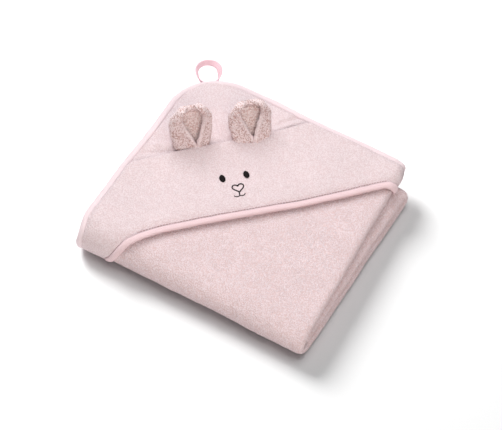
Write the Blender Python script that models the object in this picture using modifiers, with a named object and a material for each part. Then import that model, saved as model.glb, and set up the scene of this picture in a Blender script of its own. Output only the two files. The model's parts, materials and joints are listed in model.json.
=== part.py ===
"""Hooded baby towel, folded for the shelf.

A square terry bath towel is folded in thirds both ways, so that nine layers lie in one stack
with the hooded corner uppermost. The stack is built as a lower part and a top fold that opens
about the front roll. The hood's crown and face panels, its binding, the embroidered face, the
two ears and the hanging loop sit on the top fold.

Frame: metres, +Z up, origin at the centre of the folded stack's underside. The hooded corner
is the one at -X +Y. The front roll runs along -Y, and the strip's folded edges are at +X.
"""

import math

import bmesh
import bpy
from mathutils import Matrix, Vector

# The folded towel.
FOLDED_X = 0.282
FOLDED_Y = 0.270
STRIP_THICKNESS = 0.013
GAP = 0.0003
FRONT_ROLL_DEPTH = 0.030
BACK_INSET = 0.015
TOWEL_CORNER_RADIUS = 0.060
LOWER_CORNER_RADIUS = 0.040
FOLD_TIP_RADIUS = 0.012
FOLD_EDGE_ROUNDING = 0.0045

# The hood, measured from the hooded corner along the towel's edges.
HOOD_LEG = 0.3055
CROWN_LEG = 0.165
PANEL_THICKNESS = 0.0035
HEM_WIDTH = 0.009
HEM_THICKNESS = 0.0048
SEAM_GAP = 0.0006
PANEL_ROUNDING = 0.0008
HEM_ROUNDING = 0.0014

# The tape bound round the towel's cut edge.
EDGE_TAPE_THICKNESS = 0.0012
TOWEL_LAYER = 0.0043

# The embroidered face, centred a little to the front of the hood's fold line.
FACE_OFFSET = -0.0048
EYE_TO_HEM = 0.0531
EYE_SPACING = 0.0268
EYE_WIDTH = 0.0056
EYE_LENGTH = 0.0086
THREAD_HEIGHT = 0.0012
THREAD_RADIUS = 0.0006
NOSE_FROM_EYES = 0.0112
NOSE_WIDTH = 0.0142
NOSE_LENGTH = 0.0115
LIP_LENGTH = 0.0044
MOUTH_WIDTH = 0.0145
MOUTH_DIP = 0.0011

# The ears.
EAR_SPACING = 0.0666
EAR_WIDTH = 0.046
EAR_LENGTH = 0.052
EAR_BASE_WIDTH = 0.040
EAR_SHELL = 0.0034
EAR_LINING = 0.0022
EAR_FOLD_DEPTH = 0.0085
EAR_LINING_SHARE = 0.58
EAR_WIDEST = 0.5
EAR_SPAN = (0.02, 0.985)
LINING_SPAN = (0.05, 0.88)
EAR_EDGE_ROUNDING = 0.0009
EAR_HINGE_HEIGHT = 0.0024
EAR_HINGE_FROM_SEAM = 0.0022
EAR_TILT = math.radians(58)

# The hanging loop.
LOOP_DIAMETER = 0.027
LOOP_TAPE_WIDTH = 0.007
LOOP_TAPE_THICKNESS = 0.0011
LOOP_TAB_LENGTH = 0.0042
LOOP_MOUTH = 0.0050
LOOP_OFFSET = 0.0070

# Worked out from the sizes above.
HALF_X = FOLDED_X / 2
HALF_Y = FOLDED_Y / 2
LEVEL = STRIP_THICKNESS + GAP
TOP_UNDERSIDE = 2 * LEVEL
STACK = TOP_UNDERSIDE + STRIP_THICKNESS
SPLIT = STACK / 2
HOOD_TOP = STACK + GAP + PANEL_THICKNESS
FLAT_LENGTH = FOLDED_Y - FRONT_ROLL_DEPTH
LOWER_BACK = HALF_Y - BACK_INSET
DIAGONAL = math.sqrt(0.5)
HOOD_REACH = HOOD_LEG * DIAGONAL
SEAM_REACH = CROWN_LEG * DIAGONAL
ROLL_STEPS = 10
GRID_STEP_ACROSS = 0.014
GRID_STEP_DOWN = 0.0055
CORNER_STEPS = 6

COLLECTION = bpy.data.collections.new("hooded_baby_towel")


def clear_scene():
    for obj in list(bpy.data.objects):
        bpy.data.objects.remove(obj, do_unlink=True)
    bpy.context.scene.collection.children.link(COLLECTION)


def material(name, color, roughness):
    made = bpy.data.materials.get(name)
    if made is None:
        made = bpy.data.materials.new(name)
        made.use_nodes = True
        shader = made.node_tree.nodes["Principled BSDF"]
        shader.inputs["Base Color"].default_value = (*color, 1)
        shader.inputs["Roughness"].default_value = roughness
        shader.inputs["Metallic"].default_value = 0
    return made


def terry_pink():
    return material("terry_pink", (0.80, 0.62, 0.61), 0.95)


def terry_pale():
    return material("terry_pale", (0.84, 0.68, 0.68), 0.95)


def terry_dusty():
    return material("terry_dusty", (0.53, 0.37, 0.34), 0.95)


def lining_pink():
    return material("lining_pink", (0.58, 0.36, 0.36), 0.9)


def woven_tape():
    return material("woven_tape", (0.80, 0.55, 0.57), 0.7)


def black_thread():
    return material("black_thread", (0.015, 0.013, 0.013), 0.5)


def add_object(name, data, finish, parent=None):
    obj = bpy.data.objects.new(name, data)
    data.materials.append(finish)
    COLLECTION.objects.link(obj)
    obj.parent = parent
    return obj


def mesh_from(bm, name):
    bmesh.ops.recalc_face_normals(bm, faces=bm.faces[:])
    if bm.calc_volume(signed=True) < 0:
        bmesh.ops.reverse_faces(bm, faces=bm.faces[:])
    mesh = bpy.data.meshes.new(name)
    bm.to_mesh(mesh)
    bm.free()
    return mesh


def smooth(obj, angle=math.radians(40)):
    obj.data.shade_smooth()
    obj.data.set_sharp_from_angle(angle=angle)


def round_edges(obj, width, segments=3, limit=math.radians(50)):
    bevel = obj.modifiers.new("rounding", "BEVEL")
    bevel.width = width
    bevel.segments = segments
    bevel.limit_method = "ANGLE"
    bevel.angle_limit = limit


# ---- the surface that the hood lies on ----


def roll_table():
    """(length, y, z, normal y, normal z) down the upper half of the front roll."""
    rows = []
    length = 0.0
    before = None
    steps = 64
    for step in range(steps + 1):
        angle = step / steps * math.pi / 2
        y = -HALF_Y + FRONT_ROLL_DEPTH * (1 - math.sin(angle))
        z = SPLIT + (STACK - SPLIT) * math.cos(angle)
        normal = Vector((-math.sin(angle) * (STACK - SPLIT), math.cos(angle) * FRONT_ROLL_DEPTH))
        normal.normalize()
        if before is not None:
            length += math.hypot(y - before[0], z - before[1])
        before = (y, z)
        rows.append((length, y, z, normal.x, normal.y))
    return rows


ROLL = roll_table()
ROLL_LENGTH = ROLL[-1][0]
DECK_LENGTH = FLAT_LENGTH + ROLL_LENGTH


def deck(across, down, lift):
    """World point on the top fold: across from the -X edge, down from the back edge, lifted."""
    x = across - HALF_X
    if down <= FLAT_LENGTH:
        return Vector((x, HALF_Y - down, STACK + lift))
    left = min(down - FLAT_LENGTH, ROLL_LENGTH)
    index = 1
    while index < len(ROLL) - 1 and ROLL[index][0] < left:
        index += 1
    low, high = ROLL[index - 1], ROLL[index]
    share = (left - low[0]) / (high[0] - low[0])
    y, z, normal_y, normal_z = (a + (b - a) * share for a, b in zip(low[1:], high[1:]))
    return Vector((x, y + normal_y * lift, z + normal_z * lift))


# ---- cutting ----


def corner_cuts(corner, toward, radius):
    """Upright cutting planes that round a square corner, as (point, outward normal)."""
    centre = Vector((corner[0] + toward[0] * radius, corner[1] + toward[1] * radius, 0))
    cuts = []
    for step in range(CORNER_STEPS):
        angle = (step + 0.5) / CORNER_STEPS * math.pi / 2
        normal = Vector((-toward[0] * math.cos(angle), -toward[1] * math.sin(angle), 0))
        cuts.append((centre + normal * radius, normal))
    return cuts


def cut_away(bm, cuts, fill):
    for point, normal in cuts:
        bmesh.ops.bisect_plane(
            bm,
            geom=bm.verts[:] + bm.edges[:] + bm.faces[:],
            plane_co=point,
            plane_no=normal,
            clear_outer=True,
        )
        if fill:
            bmesh.ops.holes_fill(bm, edges=[edge for edge in bm.edges if edge.is_boundary])


def hood_cut(reach, keep_corner_side):
    """A cut along a line parallel to the hood's edge, in across and down measures."""
    normal = Vector((DIAGONAL, DIAGONAL, 0)) * (1 if keep_corner_side else -1)
    return (Vector((DIAGONAL, DIAGONAL, 0)) * reach, normal)


# ---- towel folds ----


def ellipse_arc(centre, depth, height, start, end):
    points = []
    for step in range(ROLL_STEPS + 1):
        angle = start + (end - start) * step / ROLL_STEPS
        points.append((centre[0] + depth * math.cos(angle), centre[1] + height * math.sin(angle)))
    return points


def fold_solid(name, outline, cuts):
    """An outline in Y and Z drawn out to the folded width, with its upright corners rounded."""
    bm = bmesh.new()
    ring = [bm.verts.new((-HALF_X, y, z)) for y, z in outline]
    face = bm.faces.new(ring)
    drawn = bmesh.ops.extrude_face_region(bm, geom=[face], use_keep_orig=True)
    moved = [item for item in drawn["geom"] if isinstance(item, bmesh.types.BMVert)]
    bmesh.ops.translate(bm, verts=moved, vec=(FOLDED_X, 0, 0))
    cut_away(bm, cuts, fill=True)
    obj = add_object(name, mesh_from(bm, name), terry_pink())
    round_edges(obj, FOLD_EDGE_ROUNDING)
    smooth(obj)
    return obj


def towel_top_fold():
    roll_centre = (-HALF_Y + FRONT_ROLL_DEPTH, SPLIT + GAP / 2)
    outer = ellipse_arc(roll_centre, FRONT_ROLL_DEPTH, STACK - roll_centre[1], math.pi / 2, math.pi)
    inner = ellipse_arc(
        roll_centre,
        FRONT_ROLL_DEPTH - STRIP_THICKNESS,
        TOP_UNDERSIDE - roll_centre[1],
        math.pi,
        math.pi / 2,
    )
    outline = [(HALF_Y, STACK)] + outer + inner + [(HALF_Y, TOP_UNDERSIDE)]
    cuts = corner_cuts((-HALF_X, HALF_Y), (1, -1), TOWEL_CORNER_RADIUS)
    cuts += corner_cuts((HALF_X, HALF_Y), (-1, -1), FOLD_TIP_RADIUS)
    return fold_solid("towel_top_fold", outline, cuts)


def towel_lower_folds():
    roll_centre = (-HALF_Y + FRONT_ROLL_DEPTH, SPLIT - GAP / 2)
    outer = ellipse_arc(roll_centre, FRONT_ROLL_DEPTH, roll_centre[1], math.pi, math.pi * 1.5)
    back_radius = (TOP_UNDERSIDE - GAP) / 2
    back_centre = (LOWER_BACK - back_radius, back_radius)
    back = ellipse_arc(back_centre, back_radius, back_radius, -math.pi / 2, math.pi / 2)
    free_end = -HALF_Y + FRONT_ROLL_DEPTH + GAP
    inner = ellipse_arc(
        roll_centre,
        FRONT_ROLL_DEPTH - STRIP_THICKNESS,
        roll_centre[1] - STRIP_THICKNESS,
        math.pi * 1.5,
        math.pi,
    )
    outline = outer + back + [(free_end, TOP_UNDERSIDE - GAP), (free_end, STRIP_THICKNESS)] + inner
    cuts = corner_cuts((-HALF_X, LOWER_BACK), (1, -1), LOWER_CORNER_RADIUS)
    cuts += corner_cuts((HALF_X, LOWER_BACK), (-1, -1), FOLD_TIP_RADIUS)
    return fold_solid("towel_lower_folds", outline, cuts)


# ---- pieces that lie on the top fold ----


def deck_grid(width, length):
    """A flat rectangle of cloth in across and down measures."""
    bm = bmesh.new()
    bmesh.ops.create_grid(
        bm,
        x_segments=round(width / GRID_STEP_ACROSS),
        y_segments=round(length / GRID_STEP_DOWN),
        size=0.5,
    )
    bmesh.ops.translate(bm, verts=bm.verts[:], vec=(0.5, 0.5, 0))
    bmesh.ops.scale(bm, verts=bm.verts[:], vec=(width, length, 1))
    return bm


def deck_panel(name, cuts, low, high, finish, rounding):
    """A piece of cloth cut from the rectangle, given its thickness and laid on the top fold."""
    bm = deck_grid(FOLDED_X, DECK_LENGTH)
    cut_away(bm, cuts, fill=False)
    drawn = bmesh.ops.extrude_face_region(bm, geom=bm.faces[:], use_keep_orig=True)
    raised = {item for item in drawn["geom"] if isinstance(item, bmesh.types.BMVert)}
    for vert in bm.verts:
        vert.co = deck(vert.co.x, vert.co.y, high if vert in raised else low)
    obj = add_object(name, mesh_from(bm, name), finish)
    if rounding:
        round_edges(obj, rounding, segments=2)
    smooth(obj)
    return obj


def hood_panels():
    side = (Vector((FOLDED_X - FOLD_EDGE_ROUNDING, 0, 0)), Vector((1, 0, 0)))
    corner = corner_cuts((0, 0), (1, 1), TOWEL_CORNER_RADIUS)
    tip = corner_cuts((FOLDED_X, 0), (-1, 1), FOLD_TIP_RADIUS)
    top = GAP + PANEL_THICKNESS
    crown_edge = SEAM_REACH - SEAM_GAP / 2
    face_start = SEAM_REACH + SEAM_GAP / 2
    face_end = HOOD_REACH - HEM_WIDTH - SEAM_GAP
    crown = corner + [hood_cut(crown_edge, True)]
    deck_panel("hood_crown_panel", crown, GAP, top, terry_pale(), PANEL_ROUNDING)
    face = [hood_cut(face_start, False), hood_cut(face_end, True), side] + tip
    deck_panel("hood_face_panel", face, GAP, top, terry_pale(), PANEL_ROUNDING)
    hem = [hood_cut(face_end + SEAM_GAP, False), hood_cut(HOOD_REACH, True), side] + tip
    deck_panel("hood_edge_binding", hem, GAP, GAP + HEM_THICKNESS, woven_tape(), HEM_ROUNDING)


def edge_path():
    """The towel's bound edge on the top fold, as (across, down, outward across, outward down).

    The outward vectors are mitred, so that a tape offset along them keeps its thickness.
    """
    stations = []
    straight = TOWEL_CORNER_RADIUS
    steps = 12
    last = DECK_LENGTH - GAP
    for step in range(steps):
        down = last + (straight - last) * step / steps
        stations.append((0.0, down, -1.0, 0.0))
    turn = math.pi / 2 / CORNER_STEPS
    for step in range(CORNER_STEPS + 1):
        ends = step in (0, CORNER_STEPS)
        half_turn = turn / 4 if ends else turn / 2
        angle = step * turn
        if ends:
            angle += half_turn if step == 0 else -half_turn
        mitre = 1 / math.cos(half_turn)
        out_x, out_down = -math.cos(angle) * mitre, -math.sin(angle) * mitre
        across = straight + straight * out_x
        stations.append((across, straight + straight * out_down, out_x, out_down))
    for share in (0.5, 1.0):
        across = straight + (FOLDED_X - FOLD_TIP_RADIUS - straight) * share
        stations.append((across, 0.0, 0.0, -1.0))
    return stations


def tape_band(name, stations, low, high):
    """A tape standing against the bound edge, from lift low to lift high."""
    bm = bmesh.new()
    rings = []
    for across, down, out_x, out_down in stations:
        ring = []
        for offset, lift in ((0, low), (1, low), (1, high), (0, high)):
            reach = GAP + offset * EDGE_TAPE_THICKNESS
            point = deck(across + out_x * reach, down, lift)
            point.y -= out_down * reach
            ring.append(bm.verts.new(point))
        rings.append(ring)
    for first, second in zip(rings, rings[1:]):
        for corner in range(4):
            following = (corner + 1) % 4
            bm.faces.new((first[corner], first[following], second[following], second[corner]))
    bm.faces.new(rings[0])
    bm.faces.new(rings[-1])
    obj = add_object(name, mesh_from(bm, name), woven_tape())
    smooth(obj)
    return obj


def lower_tape(name, low):
    """A tape along the -X edge of one of the lower folds."""
    start = -HALF_Y + FRONT_ROLL_DEPTH
    end = LOWER_BACK - LOWER_CORNER_RADIUS
    bm = bmesh.new()
    bmesh.ops.create_cube(bm, size=1)
    size = (EDGE_TAPE_THICKNESS, end - start, TOWEL_LAYER)
    bmesh.ops.scale(bm, verts=bm.verts[:], vec=size)
    obj = add_object(name, mesh_from(bm, name), woven_tape())
    across = -HALF_X - GAP - EDGE_TAPE_THICKNESS / 2
    obj.location = (across, (start + end) / 2, low + TOWEL_LAYER / 2)
    round_edges(obj, EDGE_TAPE_THICKNESS / 4, segments=2)
    return obj


def edge_tapes():
    tape_top = GAP + PANEL_THICKNESS
    tape_band("edge_binding_top", edge_path(), -TOWEL_LAYER, tape_top)
    lower_tape("edge_binding_middle", TOP_UNDERSIDE - GAP - 2 * TOWEL_LAYER)
    lower_tape("edge_binding_bottom", TOWEL_LAYER / 2)


# ---- embroidery ----


def hood_frame():
    """An empty at the hooded corner: its +X runs to the hood's edge, its +Y along that edge."""
    frame = bpy.data.objects.new("hood_frame", None)
    COLLECTION.objects.link(frame)
    frame.location = (-HALF_X, HALF_Y, HOOD_TOP + GAP)
    frame.rotation_euler = (0, 0, -math.pi / 4)
    return frame


def eye(name, along, frame):
    bm = bmesh.new()
    bmesh.ops.create_cone(
        bm,
        cap_ends=True,
        segments=20,
        radius1=0.5,
        radius2=0.42,
        depth=1,
        matrix=Matrix.Translation((0, 0, 0.5)),
    )
    bmesh.ops.scale(bm, verts=bm.verts[:], vec=(EYE_LENGTH, EYE_WIDTH, THREAD_HEIGHT))
    obj = add_object(name, mesh_from(bm, name), black_thread(), frame)
    obj.location = (HOOD_REACH - EYE_TO_HEM, along, 0)
    smooth(obj)
    return obj


def thread_line(name, points, closed, frame):
    curve = bpy.data.curves.new(name, "CURVE")
    curve.dimensions = "3D"
    curve.bevel_depth = THREAD_RADIUS
    curve.bevel_resolution = 1
    curve.use_fill_caps = not closed
    spline = curve.splines.new("POLY")
    spline.points.add(len(points) - 1)
    for point, (reach, along) in zip(spline.points, points):
        point.co = (reach, along, THREAD_RADIUS, 1)
    spline.use_cyclic_u = closed
    obj = add_object(name, curve, black_thread(), frame)
    return obj


def heart_outline(reach, along):
    """A heart seen from the corner side: two round lobes and a point towards the hood's edge."""
    points = []
    steps = 28
    for step in range(steps):
        angle = step / steps * 2 * math.pi
        side = math.sin(angle) ** 3
        height = (13 * math.cos(angle) - 5 * math.cos(2 * angle) - 2 * math.cos(3 * angle)) / 16
        height -= math.cos(4 * angle) / 16
        depth = (0.75 - height) / 1.81 * NOSE_LENGTH
        points.append((reach + depth, along + side * NOSE_WIDTH / 2))
    return points


def embroidery(frame):
    eyes = HOOD_REACH - EYE_TO_HEM
    eye("eye_left", FACE_OFFSET - EYE_SPACING / 2, frame)
    eye("eye_right", FACE_OFFSET + EYE_SPACING / 2, frame)
    nose = eyes + NOSE_FROM_EYES
    thread_line("nose", heart_outline(nose, FACE_OFFSET), True, frame)
    clear = 2 * THREAD_RADIUS + GAP
    lip_start = nose + NOSE_LENGTH + clear
    lip = [(lip_start, FACE_OFFSET), (lip_start + LIP_LENGTH, FACE_OFFSET)]
    thread_line("lip_line", lip, False, frame)
    corners = lip_start + LIP_LENGTH + clear
    mouth = []
    steps = 12
    for step in range(steps + 1):
        side = step / steps * 2 - 1
        dip = MOUTH_DIP * math.sin(abs(side) * math.pi)
        mouth.append((corners + dip, FACE_OFFSET + side * MOUTH_WIDTH / 2))
    thread_line("mouth", mouth, False, frame)


# ---- ears ----


def hinge_empty(name, reach, along, height, tilt, frame):
    empty = bpy.data.objects.new(name, None)
    COLLECTION.objects.link(empty)
    empty.parent = frame
    empty.location = (reach, along, height)
    empty.rotation_euler = (0, tilt, 0)
    return empty


def ear_half_width(share):
    """Half the ear's width at a share of its length: wide above the base, round at the tip."""
    base = EAR_BASE_WIDTH / 2
    full = EAR_WIDTH / 2
    if share < EAR_WIDEST:
        return base + (full - base) * math.sin(share / EAR_WIDEST * math.pi / 2)
    beyond = (share - EAR_WIDEST) / (1 - EAR_WIDEST)
    return full * math.sqrt(max(0.0, 1 - beyond**2))


def ear_surface(side, share, lift):
    """A point of the ear lying along -X from its hinge, with its two sides folded up."""
    reach = ear_half_width(share)
    fold = abs(side) ** 2.5
    rise = EAR_FOLD_DEPTH * fold * (1 - share**2)
    return Vector((-share * EAR_LENGTH, side * reach, rise + lift))


def ear_layer(name, widest, low, high, span, finish, hinge):
    bm = bmesh.new()
    bmesh.ops.create_grid(bm, x_segments=10, y_segments=10, size=0.5)
    drawn = bmesh.ops.extrude_face_region(bm, geom=bm.faces[:], use_keep_orig=True)
    raised = {item for item in drawn["geom"] if isinstance(item, bmesh.types.BMVert)}
    for vert in bm.verts:
        side = vert.co.x * 2 * widest
        share = span[0] + (span[1] - span[0]) * (vert.co.y + 0.5)
        vert.co = ear_surface(side, share, high if vert in raised else low)
    obj = add_object(name, mesh_from(bm, name), finish, hinge)
    round_edges(obj, EAR_EDGE_ROUNDING, segments=2)
    smooth(obj)
    return obj


def ear(side_name, along, frame):
    reach = SEAM_REACH - EAR_HINGE_FROM_SEAM
    hinge = hinge_empty(f"ear_{side_name}_hinge", reach, along, EAR_HINGE_HEIGHT, EAR_TILT, frame)
    low = -EAR_SHELL / 2
    high = EAR_SHELL / 2
    ear_layer(f"ear_{side_name}_outer", 1.0, low, high, EAR_SPAN, terry_dusty(), hinge)
    low = high + GAP
    high = low + EAR_LINING
    share = EAR_LINING_SHARE
    ear_layer(f"ear_{side_name}_lining", share, low, high, LINING_SPAN, lining_pink(), hinge)


# ---- hanging loop ----


def tape_ring(name, points, thickness, parent):
    """A tape standing on edge along a flat path, centred on the path's own plane."""
    bm = bmesh.new()
    half = LOOP_TAPE_WIDTH / 2
    rows = [[bm.verts.new((x, y, z)) for z in (-half, half)] for x, y in points]
    for (low, high), (next_low, next_high) in zip(rows, rows[1:]):
        bm.faces.new((low, next_low, next_high, high))
    obj = add_object(name, mesh_from(bm, name), woven_tape(), parent)
    solid = obj.modifiers.new("tape", "SOLIDIFY")
    solid.thickness = thickness
    solid.offset = 0
    smooth(obj)
    return obj


def corner_tape_reach(along):
    """Reach of the edge tape's outer face beside the corner, on the flat next to its middle."""
    turn = math.pi / 4 / CORNER_STEPS
    face = TOWEL_CORNER_RADIUS + GAP + EDGE_TAPE_THICKNESS
    centre = TOWEL_CORNER_RADIUS * math.sqrt(2)
    return centre - (face - abs(along) * math.sin(turn)) / math.cos(turn)


def hanging_loop(frame):
    edge = corner_tape_reach(LOOP_OFFSET - LOOP_TAPE_THICKNESS) - GAP
    drop = -(HOOD_TOP + GAP) + STACK
    hinge_at = edge - LOOP_TAB_LENGTH
    hinge = hinge_empty("hanging_loop_hinge", hinge_at, LOOP_OFFSET, drop, 0, frame)
    radius = LOOP_DIAMETER / 2 - LOOP_TAPE_THICKNESS / 2
    opening = math.asin(LOOP_MOUTH / 2 / radius)
    shift = radius * math.cos(opening)
    clear = GAP + LOOP_TAPE_THICKNESS / 2
    points = []
    steps = 32
    for step in range(steps + 1):
        angle = opening + (2 * math.pi - 2 * opening) * step / steps
        points.append((radius * math.cos(angle) - shift - clear, radius * math.sin(angle)))
    tape_ring("hanging_loop", points, LOOP_TAPE_THICKNESS, hinge)
    tab = [(0, 0), (LOOP_TAB_LENGTH, 0)]
    tape_ring("hanging_loop_tab", tab, 2 * LOOP_TAPE_THICKNESS, hinge)


def main():
    clear_scene()
    towel_lower_folds()
    towel_top_fold()
    hood_panels()
    edge_tapes()
    frame = hood_frame()
    embroidery(frame)
    ear("left", FACE_OFFSET - EAR_SPACING / 2, frame)
    ear("right", FACE_OFFSET + EAR_SPACING / 2, frame)
    hanging_loop(frame)


main()
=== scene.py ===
"""Finished look of a hooded baby towel, folded for the shelf.

A square terry towel folded in thirds both ways, with a corner hood: crown panel, face panel, bound
hem, embroidered animal face, two ears with folded sides, and a hanging loop of tape. Laid out as an
add-on: property groups hold the sizes and colours, one operator makes each group of pieces.
"""

import json
import math

import bpy
import numpy as np
from bpy.props import FloatProperty, FloatVectorProperty, PointerProperty
from bpy.types import Operator, Panel, PropertyGroup
from mathutils import Matrix, Vector


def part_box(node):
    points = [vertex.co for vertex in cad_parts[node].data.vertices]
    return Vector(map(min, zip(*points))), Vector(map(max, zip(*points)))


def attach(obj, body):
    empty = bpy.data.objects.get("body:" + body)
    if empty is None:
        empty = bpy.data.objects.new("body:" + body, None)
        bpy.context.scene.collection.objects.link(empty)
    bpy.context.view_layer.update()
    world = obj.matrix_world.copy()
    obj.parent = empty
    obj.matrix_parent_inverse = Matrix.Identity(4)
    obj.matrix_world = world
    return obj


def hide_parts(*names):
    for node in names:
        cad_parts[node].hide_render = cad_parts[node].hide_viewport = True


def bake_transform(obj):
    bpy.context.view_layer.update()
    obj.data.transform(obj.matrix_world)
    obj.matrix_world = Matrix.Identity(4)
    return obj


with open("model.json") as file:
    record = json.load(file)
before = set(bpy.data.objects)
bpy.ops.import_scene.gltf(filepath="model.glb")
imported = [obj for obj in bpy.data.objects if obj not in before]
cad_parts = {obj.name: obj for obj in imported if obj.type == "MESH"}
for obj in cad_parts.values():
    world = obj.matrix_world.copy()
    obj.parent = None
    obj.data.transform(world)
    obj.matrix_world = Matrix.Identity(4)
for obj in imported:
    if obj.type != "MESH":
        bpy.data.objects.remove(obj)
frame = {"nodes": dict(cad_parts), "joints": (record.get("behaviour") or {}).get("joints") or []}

bl_info = {
    "name": "Hooded Baby Towel",
    "version": (1, 0, 0),
    "blender": (4, 5, 0),
    "location": "View3D > Sidebar > Towel",
    "description": "Builds the cloth, ears, embroidery and tape of a folded hooded baby towel",
    "category": "Add Mesh",
}

MM = 0.001

# Places that come from the frame: the folded stack, the hood's joints and the embroidered face.
HALF_X, HALF_Y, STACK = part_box("towel_top_fold")[1]
LOWER_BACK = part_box("towel_lower_folds")[1].y
LEVEL = STACK / 3
SPLIT = STACK / 2
JOINTS = {joint["name"]: joint for joint in frame["joints"]}
DIAGONAL = math.sqrt(0.5)
ALONG_HEM = np.array([DIAGONAL, DIAGONAL, 0.0])
TO_HEM = np.array([DIAGONAL, -DIAGONAL, 0.0])
UP = np.array([0.0, 0.0, 1.0])
HOODED_CORNER = np.array([-HALF_X, HALF_Y, 0.0])


def hood_span(node):
    """(lowest, highest) place of a CAD node: along the hem, and out from the hooded corner."""
    points = np.array([vert.co for vert in frame["nodes"][node].data.vertices]) - HOODED_CORNER
    spans = np.stack([points @ ALONG_HEM, points @ TO_HEM], -1)
    return spans.min(0), spans.max(0)


SEAM_REACH = float(hood_span("hood_crown_panel")[1][1])
HOOD_REACH = float(hood_span("hood_edge_binding")[1][1])


def srgb(code):
    """A hex colour as the linear values that a shader takes."""
    channels = [int(code[start : start + 2], 16) / 255 for start in (0, 2, 4)]
    return tuple(c / 12.92 if c <= 0.04045 else ((c + 0.055) / 1.055) ** 2.4 for c in channels)


def length_property(name, default, description):
    return FloatProperty(
        name=name, default=default, description=description, unit="LENGTH", precision=4
    )


def color_property(name, code, description):
    return FloatVectorProperty(
        name=name, default=srgb(code), description=description, subtype="COLOR", size=3, min=0, max=1
    )


class TowelSizes(PropertyGroup):
    """Sizes of the cloth, tape and thread."""

    cloth: length_property("Cloth", 3.9 * MM, "Thickness of one terry layer")
    grid: length_property("Grid", 2.0 * MM, "Mesh spacing on the open surfaces")
    roll_depth: length_property("Roll depth", 30 * MM, "How far back the front roll starts to turn down")
    corner: length_property("Corner", 60 * MM, "Radius of the towel's hooded corner")
    narrowing: length_property("Narrowing", 16 * MM, "How much narrower the top fold lies at its back")
    panel: length_property("Panel", 3.2 * MM, "Thickness of the hood's cloth")
    hem: length_property("Hem", 7.8 * MM, "Width of the tape that binds the hood's long edge")
    hem_height: length_property("Hem height", 4.6 * MM, "Height of that tape at its middle")
    ear_length: length_property("Ear length", 51 * MM, "Height of an ear from its seam")
    ear_width: length_property("Ear width", 46 * MM, "Widest part of an ear")
    ear_base: length_property("Ear base", 37 * MM, "Width of an ear at its seam")
    thread: length_property("Thread", 1.5 * MM, "Width of a line of embroidery")
    loop: length_property("Loop", 26 * MM, "Outer diameter of the hanging loop")
    loop_tape: length_property("Loop tape", 7.5 * MM, "Width of the hanging loop's tape")


class TowelColors(PropertyGroup):
    """Colours of the cloth, tape and thread."""

    terry: color_property("Towel terry", "f6e8ee", "Loops of the towel's terry")
    # Painted shade between the towel's loops.
    terry_gap_shade: color_property("Towel gaps", "dcc2c3", "Between the loops of the towel's terry")
    hood: color_property("Hood terry", "e8dbdf", "Loops of the hood's finer terry")
    # Painted shade between the hood's loops.
    hood_gap_shade: color_property("Hood gaps", "d6c2c5", "Between the loops of the hood's terry")
    ear: color_property("Ear terry", "ffeef0", "Loops of the ears' curly terry")
    # Painted shade between the ears' curls.
    ear_gap_shade: color_property("Ear gaps", "c8a6a2", "Between the loops of the ears' terry")
    lining: color_property("Ear lining", "fff0f0", "Loops of the ears' lining")
    # Painted shade between the lining's loops.
    lining_gap_shade: color_property("Lining gaps", "dbbdba", "Between the loops of the lining")
    tape: color_property("Tape", "efdce0", "Threads of the woven tape")
    tape_gap: color_property("Tape gaps", "d0a3a9", "Between the threads of the tape")
    edge: color_property("Edge tape", "eedfe3", "Threads of the tape bound round the towel's edge")
    edge_gap: color_property("Edge tape gaps", "dcc6cc", "Between the threads of the edge tape")
    loop: color_property("Loop tape", "fbe0e8", "Threads of the hanging loop")
    loop_gap: color_property("Loop gaps", "e0a3b4", "Between the threads of the loop")
    topstitch: color_property("Topstitch", "b08587", "Sewing thread beside the hem tape")
    thread: color_property("Thread", "120b0d", "Embroidery thread")
    floor: color_property("Floor", "fbfbfb", "Plain studio floor")


def sizes():
    return bpy.context.scene.towel_sizes


def colors():
    return bpy.context.scene.towel_colors


# ---- materials ----


def add_node(tree, kind, settings=None, links=None):
    """One node with its settings; links maps an input's name or number to a socket."""
    node = tree.nodes.new(kind)
    for key, value in (settings or {}).items():
        if isinstance(key, str) and hasattr(node, key):
            setattr(node, key, value)
        else:
            node.inputs[key].default_value = value
    for key, source in (links or {}).items():
        tree.links.new(source, node.inputs[key])
    return node


# A Mix node's colour inputs and output have shared names, so they are told apart by number.
MIX_FIRST, MIX_SECOND, MIX_RESULT = 6, 7, 2
# A wave node's bands repeat every 0.314 / scale metres, and the tape has a rib every 0.9 mm.
WAVE_OF_METRE = 0.314
RIB_PITCH = 0.9 * MM


def new_material(name, roughness, sheen, sheen_tint, specular):
    """A material with a cleared tree, its shader and its output."""
    made = bpy.data.materials.new(name)
    made.use_nodes = True
    tree = made.node_tree
    tree.nodes.clear()
    shader = add_node(tree, "ShaderNodeBsdfPrincipled", {"Roughness": roughness, "Metallic": 0.0})
    shader.inputs["Sheen Weight"].default_value = sheen
    shader.inputs["Sheen Roughness"].default_value = 0.6
    shader.inputs["Sheen Tint"].default_value = (*sheen_tint, 1)
    shader.inputs["Specular IOR Level"].default_value = specular
    add_node(tree, "ShaderNodeOutputMaterial", links={"Surface": shader.outputs["BSDF"]})
    return made, tree, shader


def finish_material(tree, shader, color, height, strength, depth):
    """Takes the shader's colour and its bump from the given sockets."""
    tree.links.new(color, shader.inputs["Base Color"])
    bump = add_node(
        tree, "ShaderNodeBump", {"Strength": strength, "Distance": depth}, {"Height": height}
    )
    tree.links.new(bump.outputs["Normal"], shader.inputs["Normal"])


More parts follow.
